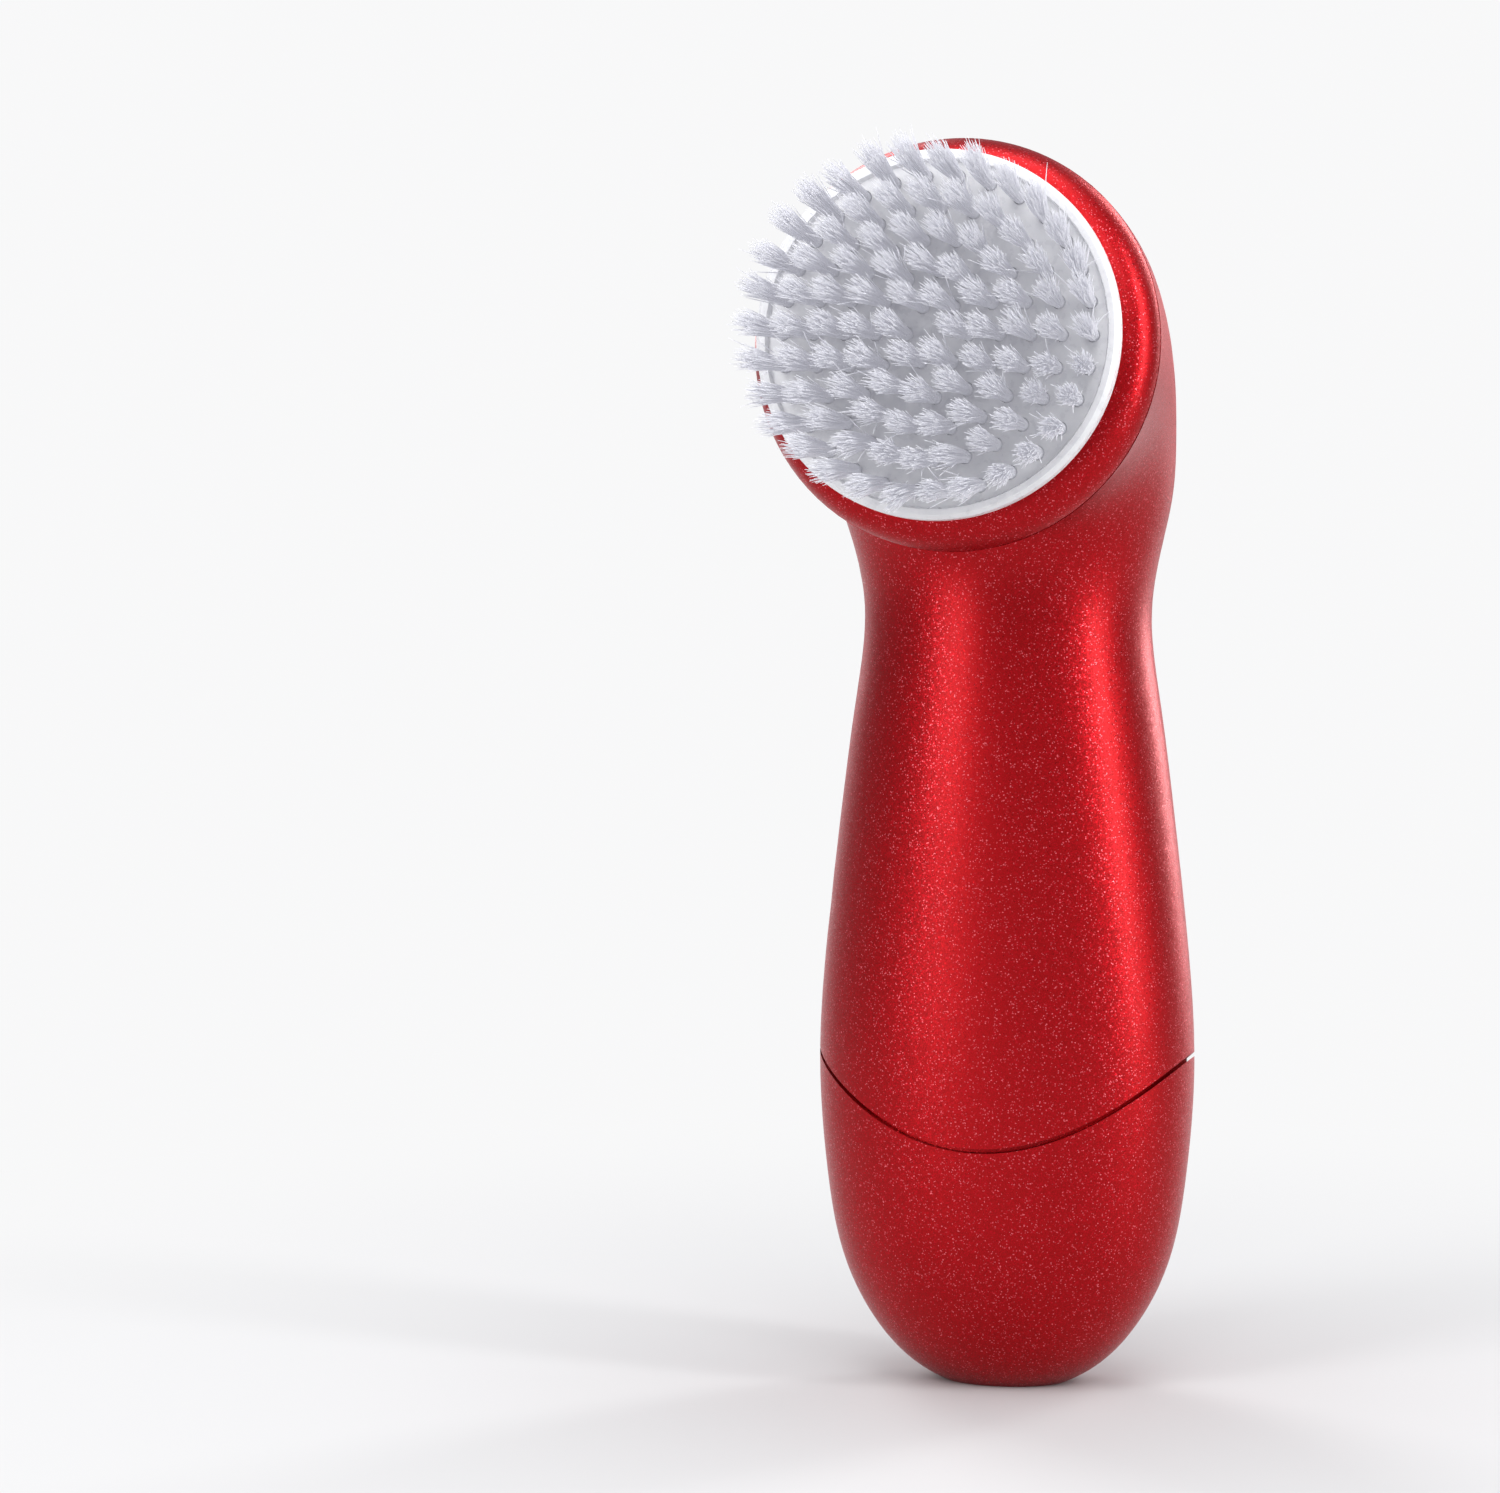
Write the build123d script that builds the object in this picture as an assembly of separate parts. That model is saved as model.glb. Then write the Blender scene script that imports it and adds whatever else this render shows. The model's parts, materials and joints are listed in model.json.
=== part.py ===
"""Battery facial cleansing brush: a pear-shaped handle whose head bends forward to a spinning brush.

Frame: millimetres, +Z up the handle, the brush faces -Y, X = 0 is the mirror plane.
The origin is the centre of the flat foot that the handle stands on.
"""
from build123d import *
from math import acos, cos, exp, pi, radians, sin, tan
import os

os.makedirs("parts", exist_ok=True)

# ---- driving dimensions -----------------------------------------------------------------------
TILT = 8.0                       # the brush axis points this many degrees above level
RIM_Y = -29.0                    # centre of the head's rim
RIM_Z = 130.7
RIM_R = 24.9
WALL = 2.0

NECK_Z = 98.0                    # narrowest part of the handle
NECK_DEPTH_RATIO = 0.85          # depth over width at the neck
GRIP_DEPTH_RATIO = 0.72          # depth over width lower down
CHIN_R = 3.0                     # how far the rim's lowest point stands from the bend's pivot

# height and half width of the handle's level sections, from the foot to the neck
HANDLE = [
    (0.0, 7.6), (0.8, 9.4), (3.1, 12.8), (8.1, 17.1), (15.6, 20.7), (26.0, 22.75),
    (40.5, 23.75), (56.0, 22.8), (71.0, 21.1), (86.0, 19.1), (98.0, 18.05),
]

SEAM_LOW_Z = 31.4                # the cap's seam dips to this height at the front and back
SEAM_SIDE_Z = 42.0               # and rises to this height at the sides
SEAM_GAP = 0.6
LINER_GAP = 0.25
LINER_SHOULDER_Z = 24.0          # the liner's tongue rises straight from here
LINER_SHOULDER_X = 22.4
TONGUE_WALL = 1.5
CAP_FLOOR_Z = 2.6
CAP_CONTACT_Z = 5.6

CELL_R = 7.1                     # AA cells, side by side
CELL_X = 7.4
CELL_LOW_Z = 13.0
CELL_LENGTH = 49.2
NUB_R = 2.6
NUB_LENGTH = 1.2
BULKHEAD_Z = 66.5
BULKHEAD_TOP_Z = 68.5

MOTOR_V = -32.0                  # distance of the motor's axis behind the rim plane
MOTOR_TOP_U = -31.5
MOTOR_WIDE = 20.1
MOTOR_THICK = 15.4
MOTOR_LONG = 25.0

PINION_TEETH = 9
CROWN_TEETH = 36
CROWN_MODULE = 0.5
SPUR_TEETH = 10
OUTPUT_TEETH = 40
SPUR_MODULE = 0.6

SHAFT_R = 2.0
AXLE_R = 1.0
RUNNING = 0.04                   # radial clearance of a turning fit
SCREW_R = 0.8

COVER_V = 4.0                    # front face of the head's cover
WELL_R = 9.0                     # the drive boss stands in this well
WELL_FLOOR_V = -1.3
SPIGOT_R = 19.4
COVER_GAP = 0.3                  # the cover's edge stands this far off the body's rim, on a flat gasket

BASE_R = 22.0                    # the brush's round base
BASE_BACK_V = 5.2
BASE_TOP_V = 11.0
PLATE_V = 10.2
TUFT_TIP_V = 23.3
RING_STEP = 3.75                 # tufts stand in rings of 6, 12, 18, 24 and 30
RINGS = 5
HOLE_R = 0.85

BUTTON_Z = 84.0                  # the power button is on the back of the neck
BUTTON_R = 6.5
BUTTON_PROUD = 0.7
BOARD_Y = 7.6
BOARD_THICK = 1.2

# ---- derived dimensions -----------------------------------------------------------------------
COS_T = cos(radians(TILT))
SIN_T = sin(radians(TILT))
FORWARD = Vector(0, -COS_T, SIN_T)
HEAD = Plane(origin=(0, RIM_Y, RIM_Z), x_dir=(1, 0, 0), z_dir=FORWARD)

PIVOT_REACH = CHIN_R + RIM_R
PIVOT_Y = RIM_Y - PIVOT_REACH * SIN_T
PIVOT_Z = RIM_Z - PIVOT_REACH * COS_T
BEND_END = 90.0 - TILT
BEND_STEPS = 6
NECK_HALF_WIDTH = 18.3
FLOOR_HALF_WIDTH = 11.6          # half width of the form at the cap's inner floor
NECK_HALF_DEPTH = NECK_DEPTH_RATIO * HANDLE[-1][1]

SEAM_CURVE = (SEAM_SIDE_Z - SEAM_LOW_Z) / 23.75 ** 2

PINION_R = CROWN_MODULE * PINION_TEETH / 2
SPUR_R = SPUR_MODULE * SPUR_TEETH / 2
OUTPUT_R = SPUR_MODULE * OUTPUT_TEETH / 2
CROWN_U = -(SPUR_R + OUTPUT_R)
CROWN_V = MOTOR_V + PINION_R     # pitch plane of the crown teeth, which face backwards
CROWN_TOOTH_INNER = 8.5
CROWN_TOOTH_OUTER = 9.7

# ---- inside parts: v is forward of the rim plane, u is up the head's face ----------------------
FRAME_BOSSES = [(14.6, 8.6), (16.8, -8.5)]      # in the head's plane, mirrored in X
FRAME_BOSS_R = 2.2
FRAME_PLATE_V = (-16.5, -14.5)
BOARD_POSTS = [(7.0, 73.0), (7.0, 94.5)]         # x and height, mirrored in X
CARRIER_SCREW_X = 16.2
COVER_SCREW_R = 16.0
COVER_SCREW_TURNS = (90, 225, 315)
CELL_TOP_Z = CELL_LOW_Z + CELL_LENGTH + NUB_LENGTH
CONTACT_GAP = 0.05
SHEET = 0.4
LEAD_HOLES = (-12.6, 12.6)
LEAD_HOLE_Y = -4.0
SWITCH_TOP_Y = BOARD_Y + BOARD_THICK + 1.8
STEM_R = 2.0
SEAL_Y = (11.05, 11.9)
FLANGE_Y = (12.6, 13.25)
STEM_END_Y = 11.75
END_CAP_LONG = 3.0
MOTOR_SCREW_X = 6.0
BRACKET_SCREW_U = -27.0
REAR_PLATE_V = (-26.8, -25.2)
PILLARS = [(14.4, 0.0), (12.5, -8.5)]
PILLAR_R = 1.7
RIB_WIDE = 1.9
HUB_SLOT = 2.2
HUB_BORE = 4.95
HUB_R = 6.8
HOLE_LOW_V = 6.7
TUFT_ROOT_V = 7.3
TUFT_ROOT_R = 0.8
TUFT_TIP_R = 1.15


def save(shape, node):
    """Write one node's solids."""
    if isinstance(shape, (list, ShapeList)):
        shape = Compound(children=list(shape))
    export_step(shape, f"parts/{node}.step")


# ---- outer form -------------------------------------------------------------------------------
def depth_ratio(z):
    """Depth over width of the handle's section at height z."""
    rise = min(max((z - 40.0) / (NECK_Z - 40.0), 0.0), 1.0)
    blend = rise * rise * (3 - 2 * rise)
    return GRIP_DEPTH_RATIO + (NECK_DEPTH_RATIO - GRIP_DEPTH_RATIO) * blend


def handle_section(z, half_width, inset):
    """Level ellipse. The inset grows towards the foot, where the wall leans."""
    level = inset * (1 + 0.6 * exp(-z / 6))
    return Pos(0, 0, z) * Ellipse(half_width - level, half_width * depth_ratio(z) - level)


def bend_section(turn, inset):
    """Ellipse across the bend, turned about the pivot in front of the neck."""
    share = turn / BEND_END
    ease = sin(pi / 2 * share) ** 2
    neck_inner = -PIVOT_Y - NECK_HALF_DEPTH
    neck_outer = -PIVOT_Y + NECK_HALF_DEPTH
    inner = neck_inner + (CHIN_R - neck_inner) * ease + inset
    outer = neck_outer + (CHIN_R + 2 * RIM_R - 0.05 - neck_outer) * ease - inset
    half_width = NECK_HALF_WIDTH + (RIM_R - NECK_HALF_WIDTH) * share ** 0.55 - inset
    along = Vector(0, cos(radians(turn)), sin(radians(turn)))
    centre = Vector(0, PIVOT_Y, PIVOT_Z) + along * ((inner + outer) / 2)
    travel = Vector(0, -sin(radians(turn)), cos(radians(turn)))
    plane = Plane(origin=centre, x_dir=(1, 0, 0), z_dir=travel)
    return plane * Ellipse(half_width, (outer - inner) / 2)


def form(inset=0.0, floor=None):
    """The whole handle and head as one smooth solid, inset from the outside. A floor cuts its foot off."""
    sections = [handle_section(z, half_width, inset) for z, half_width in HANDLE]
    if floor is not None:
        kept = [handle_section(z, half_width, inset) for z, half_width in HANDLE if z > floor + 1]
        sections = [handle_section(floor, FLOOR_HALF_WIDTH, inset)] + kept
    for step in range(1, BEND_STEPS + 1):
        sections.append(bend_section(BEND_END * step / BEND_STEPS, inset))
    return loft(sections)


# ---- shared shapes ----------------------------------------------------------------------------
def post(radius, low, high, x=0.0, y=0.0):
    """Round bar along the local third axis, between two heights."""
    return Pos(x, y, (low + high) / 2) * Cylinder(radius, high - low)


def tube(radius, bore, low, high, x=0.0, y=0.0):
    return post(radius, low, high, x, y) - post(bore, low - 1, high + 1, x, y)


def block(x, y, z):
    """Box from three (low, high) pairs."""
    size = [pair[1] - pair[0] for pair in (x, y, z)]
    middle = [(pair[0] + pair[1]) / 2 for pair in (x, y, z)]
    return Pos(*middle) * Box(*size)


def oval_bar(half_width, half_depth, low, high):
    return Pos(0, 0, low) * extrude(Ellipse(half_width, half_depth), high - low)


def screw(x, y, seat, tip, head_r=1.6, head_high=1.0):
    """Pan-head screw along the local third axis. Its head stands on the seat, away from the tip."""
    way = 1 if seat > tip else -1
    low, high = sorted((seat, seat + way * head_high))
    shank_low, shank_high = sorted((seat, tip))
    slot = block((x - head_r, x + head_r), (y - 0.2, y + 0.2), sorted((high, high - 0.4)))
    if way < 0:
        slot = block((x - head_r, x + head_r), (y - 0.2, y + 0.2), (low, low + 0.4))
    return post(head_r, low, high, x, y) - slot + post(SCREW_R, shank_low, shank_high, x, y)


def coil(radius, wire, pitch, low, high, x):
    """Round-wire spring standing at (x, 0)."""
    path = Pos(x, 0, low + wire) * Helix(pitch, high - low - 2 * wire, radius)
    profile = Plane(origin=path @ 0, z_dir=path % 0) * Circle(wire)
    return sweep(profile, path)


def lead(points, radius=0.55):
    """Insulated wire through the given points."""
    path = Spline(*points)
    return sweep(Plane(origin=path @ 0, z_dir=path % 0) * Circle(radius), path)


def under_seam(shift):
    """Everything below the smile-shaped seam, moved up by shift."""
    reach = 30.0
    end_z = SEAM_LOW_Z + SEAM_CURVE * reach ** 2 + shift
    control_z = 2 * (SEAM_LOW_Z + shift) - end_z
    rim = Bezier((-reach, end_z), (0, control_z), (reach, end_z))
    sides = Polyline((reach, end_z), (reach, -5), (-reach, -5), (-reach, end_z))
    return extrude(Plane.XZ * make_face([rim, sides]), 40, both=True)


# ---- gears ------------------------------------------------------------------------------------
PRESSURE = radians(20.0)


def involute(angle):
    return tan(angle) - angle


def spur(teeth, module, low, high, phase, addendum=1.0, backlash=0.08):
    """Involute gear about the local third axis, with one tooth centred at the phase, in degrees."""
    pitch_r = module * teeth / 2
    base_r = pitch_r * cos(PRESSURE)
    root_r = pitch_r - 1.25 * module
    tip_r = pitch_r + addendum * module
    half_tooth = pi / (2 * teeth) - backlash / (2 * pitch_r)
    flank = [(root_r, half_tooth + involute(PRESSURE))]
    start_r = max(base_r, root_r)
    flank_steps = 4
    for step in range(flank_steps + 1):
        radius = start_r + (tip_r - start_r) * step / flank_steps
        flank.append((radius, half_tooth + involute(PRESSURE) - involute(acos(base_r / radius))))
    if root_r >= base_r:
        flank.pop(0)
    points = []
    for tooth in range(teeth):
        centre = radians(phase) + 2 * pi * tooth / teeth
        for radius, angle in flank:
            points.append((radius * cos(centre - angle), radius * sin(centre - angle)))
        for radius, angle in reversed(flank):
            points.append((radius * cos(centre + angle), radius * sin(centre + angle)))
    outline = make_face(Polyline(*points, close=True))
    return Pos(0, 0, low) * extrude(outline, high - low)


def crown_teeth():
    """Face-gear teeth that stand backwards from the crown's disc, around the local third axis."""
    addendum = 0.4
    dedendum = 1.25 * CROWN_MODULE
    backlash = 0.16
    half_pitch = (pi * CROWN_MODULE / 2 - backlash) / 2
    tip = half_pitch - addendum * tan(PRESSURE)
    root = half_pitch + dedendum * tan(PRESSURE)
    outline = Polyline((-root, dedendum), (-tip, -addendum), (tip, -addendum), (root, dedendum), close=True)
    plane = Plane(origin=(CROWN_TOOTH_INNER, 0, CROWN_V), x_dir=(0, 1, 0), z_dir=(1, 0, 0))
    face = plane * make_face(outline)
    tooth = extrude(face, CROWN_TOOTH_OUTER - CROWN_TOOTH_INNER)
    step = 360 / CROWN_TEETH
    return [Rot(0, 0, -90 + step * (index + 0.5)) * tooth for index in range(CROWN_TEETH)]


# ---- casing -----------------------------------------------------------------------------------


def mirrored(pairs):
    return [(side * x, other) for side in (-1, 1) for x, other in pairs]


def cover_screw_places():
    return [
        (COVER_SCREW_R * cos(radians(turn)), COVER_SCREW_R * sin(radians(turn)))
        for turn in COVER_SCREW_TURNS
    ]


def back_facing(z):
    """Plane whose third axis points out of the handle's back at height z."""
    return Plane(origin=(0, 0, z), x_dir=(1, 0, 0), z_dir=(0, 1, 0))


def main_body(outer, shell):
    """Handle and head shell, open at the cap's seam and at the head's rim."""
    body = shell - under_seam(SEAM_GAP / 2)
    frame_bosses = []
    for x, u in mirrored(FRAME_BOSSES):
        back = -27 if u > 0 else -24.5
        frame_bosses.append(HEAD * post(FRAME_BOSS_R, back, FRAME_PLATE_V[0], x, u))
        if u < 0:
            reach = sorted((x, x + (5 if x > 0 else -5)))
            frame_bosses.append(HEAD * block(reach, (u - 0.8, u + 0.8), (-24, FRAME_PLATE_V[0])))
    other_bosses = []
    for x, z in mirrored(BOARD_POSTS):
        other_bosses.append(back_facing(z) * post(1.8, BOARD_Y + BOARD_THICK, 18, x))
    for x in (-CARRIER_SCREW_X, CARRIER_SCREW_X):
        other_bosses.append(post(2.3, BULKHEAD_TOP_Z, 82, x))
        other_bosses.append(block(sorted((x, 1.2 * x)), (-0.8, 0.8), (BULKHEAD_TOP_Z + 1, 82)))
    other_bosses.append(back_facing(BUTTON_Z) * post(9.5, 11.0, 18))
    for boss in frame_bosses + other_bosses:
        body += boss & outer
    button_bore = back_facing(BUTTON_Z) * (post(8.1, 10.5, 13.3) + post(BUTTON_R + 0.25, 13, 20))
    body -= button_bore
    for x, u in mirrored(FRAME_BOSSES):
        body -= HEAD * post(SCREW_R, -23, FRAME_PLATE_V[0] + 1, x, u)
    for x, z in mirrored(BOARD_POSTS):
        body -= back_facing(z) * post(SCREW_R, BOARD_Y, 11.2, x)
    for x in (-CARRIER_SCREW_X, CARRIER_SCREW_X):
        body -= post(SCREW_R, BULKHEAD_TOP_Z - 1, 76, x)
    return body


def battery_cap(shell):
    """Lower shell with the foot."""
    return shell & under_seam(-SEAM_GAP / 2)


def cap_liner():
    """Moulding inside the cap: it holds the contacts, and its tongue enters the body."""
    inset = WALL + LINER_GAP
    sections = [handle_section(CAP_FLOOR_Z + LINER_GAP, FLOOR_HALF_WIDTH, inset)]
    for z, half_width in HANDLE:
        if 5 < z < LINER_SHOULDER_Z:
            sections.append(handle_section(z, half_width, inset))
    sections.append(handle_section(LINER_SHOULDER_Z, LINER_SHOULDER_X, inset))
    liner = loft(sections)
    reach = LINER_SHOULDER_X - inset
    depth = LINER_SHOULDER_X * GRIP_DEPTH_RATIO - inset
    liner += oval_bar(reach, depth, LINER_SHOULDER_Z, 50)
    liner &= under_seam(5.0)
    liner -= oval_bar(reach - TONGUE_WALL, depth - TONGUE_WALL, 18, 51)
    for x in (-CELL_X, CELL_X):
        liner -= post(CELL_R + 0.4, CAP_CONTACT_Z, 19, x)
    liner -= block((-CELL_X, CELL_X), (-4.3, 4.3), (CAP_CONTACT_Z, 19))
    return liner


def head_front_cover():
    """Domed ring that closes the head, with the drive well at its centre."""
    face_inner = COVER_V - 1.8
    flange_r = 21.0
    rim = RIM_R - 0.05
    flat = 20.3
    top = Line((WELL_R, COVER_V), (flat, COVER_V))
    dome = ThreePointArc((flat, COVER_V), (23.7, 2.45), (rim, COVER_GAP))
    under = [
        (rim, COVER_GAP), (flange_r, COVER_GAP), (flange_r, face_inner), (WELL_R, face_inner),
        (WELL_R, COVER_V),
    ]
    cover = revolve(Plane.XZ * make_face([top, dome, Polyline(*under)]), Axis.Z)
    cover += tube(SPIGOT_R, SPIGOT_R - 1.6, -3.5, COVER_V - 1)
    cover += tube(WELL_R + 1.6, WELL_R, -4.0, COVER_V)
    cover += post(WELL_R + 1, -4.0, WELL_FLOOR_V)
    cover -= post(4.5, -3.4, 0) + post(2.6, -5, 0)
    for x, u in cover_screw_places():
        cover += post(2.8, -3.4, COVER_V - 0.5, x, u)
        cover -= post(2.1, -2.0, COVER_V + 1, x, u) + post(SCREW_R + 0.2, -5, 0, x, u)
    return HEAD * cover


def cover_gasket():
    return HEAD * tube(RIM_R - 0.4, RIM_R - WALL + 0.05, 0, COVER_GAP)


def cap_gasket():
    reach = LINER_SHOULDER_X - WALL - LINER_GAP
    depth = LINER_SHOULDER_X * GRIP_DEPTH_RATIO - WALL - LINER_GAP
    ring = oval_bar(reach + 0.4, depth + 0.4, 25, 50) - oval_bar(reach, depth, 24, 51)
    return ring & (under_seam(3.4) - under_seam(2.0))


# ---- cells and contacts -----------------------------------------------------------------------
def cell(x, nub_up):
    """AA cell. The nub is its positive end."""
    if nub_up:
        can = post(CELL_R, CELL_LOW_Z, CELL_LOW_Z + CELL_LENGTH, x)
        nub_low = CELL_LOW_Z + CELL_LENGTH
    else:
        can = post(CELL_R, CELL_LOW_Z + NUB_LENGTH, CELL_LOW_Z + NUB_LENGTH + CELL_LENGTH, x)
        nub_low = CELL_LOW_Z
    can = fillet(can.edges().filter_by(GeomType.CIRCLE), 0.5)
    return can + post(NUB_R, nub_low, nub_low + NUB_LENGTH, x)


def battery_carrier():
    """Saddle behind the cells under a bulkhead that closes off the motor space."""
    saddle = block((-13, 13), (2.5, 8.2), (30, BULKHEAD_Z + 0.5))
    for x in (-CELL_X, CELL_X):
        saddle -= post(CELL_R + 0.25, 29, BULKHEAD_Z, x)
    bulkhead = oval_bar(18.7, 13.4, BULKHEAD_Z, BULKHEAD_TOP_Z)
    pad_low = CELL_TOP_Z + CONTACT_GAP + SHEET
    pad = block((-CELL_X - 4.5, -CELL_X + 4.5), (-4.5, 4.5), (pad_low, BULKHEAD_Z + 0.5))
    carrier = saddle + bulkhead + pad
    for x in (-CARRIER_SCREW_X, CARRIER_SCREW_X):
        carrier -= post(SCREW_R + 0.2, BULKHEAD_Z - 1, BULKHEAD_TOP_Z + 1, x)
    for x in LEAD_HOLES:
        carrier -= post(0.8, BULKHEAD_Z - 4, BULKHEAD_TOP_Z + 1, x, LEAD_HOLE_Y)
    return carrier


def positive_contact():
    low = CELL_TOP_Z + CONTACT_GAP
    plate = block((-CELL_X - 4.2, -CELL_X + 4.2), (-4.2, 4.2), (low, low + SHEET))
    return plate


def negative_contact():
    """Spring on a plate under the bulkhead."""
    plate_low = BULKHEAD_Z - SHEET
    plate = block((CELL_X - 4.2, CELL_X + 4.2), (-4.2, 4.2), (plate_low, BULKHEAD_Z))
    return [plate, coil(3.2, 0.35, 0.9, CELL_TOP_Z + CONTACT_GAP, plate_low, CELL_X)]


def cap_contact():
    """Bridge plate on the liner's floor that joins the two cells."""
    return block((-10.6, 10.6), (-3.9, 3.9), (CAP_CONTACT_Z, CAP_CONTACT_Z + SHEET))


def cap_springs():
    low = CAP_CONTACT_Z + SHEET
    return [coil(3.6, 0.4, 1.7, low, CELL_LOW_Z - CONTACT_GAP, x) for x in (-CELL_X, CELL_X)]


# ---- switch and board -------------------------------------------------------------------------


def power_button():
    """Domed push button with a flange that keeps it in the wall and a stem that meets the switch."""
    wall_half_width = 19.35
    cap = back_facing(BUTTON_Z) * post(BUTTON_R, FLANGE_Y[0], 20)
    half_depth = wall_half_width * depth_ratio(BUTTON_Z) + BUTTON_PROUD
    cap &= oval_bar(wall_half_width + BUTTON_PROUD, half_depth, BUTTON_Z - 8, BUTTON_Z + 8)
    cap += back_facing(BUTTON_Z) * post(7.6, *FLANGE_Y)
    cap += back_facing(BUTTON_Z) * post(STEM_R, STEM_END_Y, FLANGE_Y[0])
    return cap


def button_seal():
    return back_facing(BUTTON_Z) * tube(8.1, STEM_R + 0.05, *SEAL_Y)


def switch_body():
    body = block((-3, 3), (BOARD_Y + BOARD_THICK, SWITCH_TOP_Y), (BUTTON_Z - 3, BUTTON_Z + 3))
    return body - back_facing(BUTTON_Z) * post(1.6, SWITCH_TOP_Y - 1.4, SWITCH_TOP_Y + 1)


def switch_plunger():
    return back_facing(BUTTON_Z) * post(1.5, SWITCH_TOP_Y - 0.6, STEM_END_Y - 0.05)


def control_board():
    board = block((-9, 9), (BOARD_Y, BOARD_Y + BOARD_THICK), (70, 97))
    for x, z in mirrored(BOARD_POSTS):
        board -= back_facing(z) * post(SCREW_R + 0.2, BOARD_Y - 1, BOARD_Y + 3, x)
    return board


def board_components():
    """Driver chip, transistor, capacitor and two resistors on the board's motor side."""
    low = BOARD_Y
    return [
        block((-2.5, 2.5), (low - 1.1, low), (86, 90)),
        block((3.4, 6.0), (low - 1.0, low), (83.5, 85.5)),
        block((-6.2, -3.6), (low - 1.1, low), (80, 82.6)),
        block((3.6, 4.4), (low - 0.5, low), (79, 80.6)),
        block((5.2, 6.0), (low - 0.5, low), (79, 80.6)),
    ]


# ---- motor ------------------------------------------------------------------------------------
MOTOR = Plane(
    origin=HEAD.from_local_coords(Vector(0, MOTOR_TOP_U, MOTOR_V)), x_dir=(1, 0, 0), z_dir=(0, SIN_T, COS_T)
)


def flat_sided(width, thick, low, high):
    return post(width / 2, low, high) & block((-width, width), (-thick / 2, thick / 2), (low, high))


def motor_can():
    can = flat_sided(MOTOR_WIDE, MOTOR_THICK, END_CAP_LONG - MOTOR_LONG, 0)
    can -= flat_sided(MOTOR_WIDE - 1.4, MOTOR_THICK - 1.4, -MOTOR_LONG, -0.7)
    can += post(3.0, -0.7, 1.0)
    can -= post(AXLE_R + RUNNING, -3, 3)
    for x in (-MOTOR_SCREW_X, MOTOR_SCREW_X):
        can -= post(SCREW_R, -2, 1, x)
    return MOTOR * can


def motor_end_cap():
    cap = flat_sided(MOTOR_WIDE, MOTOR_THICK, -MOTOR_LONG, END_CAP_LONG - MOTOR_LONG)
    cap -= post(AXLE_R + RUNNING, 0.8 - MOTOR_LONG, 0)
    return MOTOR * cap


def motor_magnets():
    ring = flat_sided(MOTOR_WIDE - 1.4, MOTOR_THICK - 1.4, -19, -4) - post(6.2, -20, -3)
    ring -= block((-3, 3), (-12, 12), (-20, -3))
    return [MOTOR * solid for solid in ring.solids()]


def motor_armature():
    core = post(5.7, -17, -6)
    for turn in (0, 120, 240):
        core -= Rot(0, 0, turn) * block((4.2, 6), (-0.7, 0.7), (-18, -5))
    core += post(2.4, -20.5, -17)
    return MOTOR * (core - post(AXLE_R, -25, 0))


def motor_shaft():
    return MOTOR * post(AXLE_R, 1.2 - MOTOR_LONG, 8.9)


def motor_pinion():
    pinion = spur(PINION_TEETH, CROWN_MODULE, 1.7, 8.7, phase=-90, backlash=0.12)
    return MOTOR * (pinion - post(AXLE_R, 0, 10))


def motor_bracket():
    """Bent plate: the motor hangs from its level leg, and its upright leg is screwed to the rear plate."""
    leg = block((-9.5, 9.5), (MOTOR_TOP_U, MOTOR_TOP_U + 1.2), (-39.5, -24.0))
    leg += block((-9.5, 9.5), (MOTOR_TOP_U, -24.8), (-25.2, -24.0))
    leg = HEAD * leg
    leg -= MOTOR * post(3.05, -1, 2)
    for x in (-MOTOR_SCREW_X, MOTOR_SCREW_X):
        leg -= MOTOR * post(SCREW_R + 0.2, -1, 2, x)
        leg -= HEAD * post(SCREW_R + 0.2, -27, -22, x, BRACKET_SCREW_U)
    return leg


# ---- gearbox ----------------------------------------------------------------------------------


def gearbox_frame():
    """Front plate with the bearing tube, pillars for the rear plate and posts for the cover's screws."""
    rims = [CenterArc((0, 0), 17.0, 0, 360)]
    rims += [CenterArc(place, 2.2, 0, 360) for place in mirrored(FRAME_BOSSES)]
    rims += [CenterArc(place, 2.2, 0, 360) for place in cover_screw_places()]
    plate = Pos(0, 0, FRAME_PLATE_V[0]) * extrude(make_hull(rims), FRAME_PLATE_V[1] - FRAME_PLATE_V[0])
    plate += post(5.2, FRAME_PLATE_V[0], -7.0)
    plate -= post(3.5, -18, 0)
    for x, u in mirrored(FRAME_BOSSES):
        plate -= post(SCREW_R + 0.2, -18, -13, x, u)
    for x, u in mirrored(PILLARS):
        plate += post(PILLAR_R, REAR_PLATE_V[1], FRAME_PLATE_V[0], x, u)
        plate -= post(SCREW_R, REAR_PLATE_V[0], -19, x, u)
    for x, u in cover_screw_places():
        plate += post(2.2, FRAME_PLATE_V[1], -3.6, x, u)
        plate -= post(SCREW_R, -11, 0, x, u)
    plate -= post(AXLE_R, -18, -13, 0, CROWN_U)
    return HEAD * plate


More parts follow.
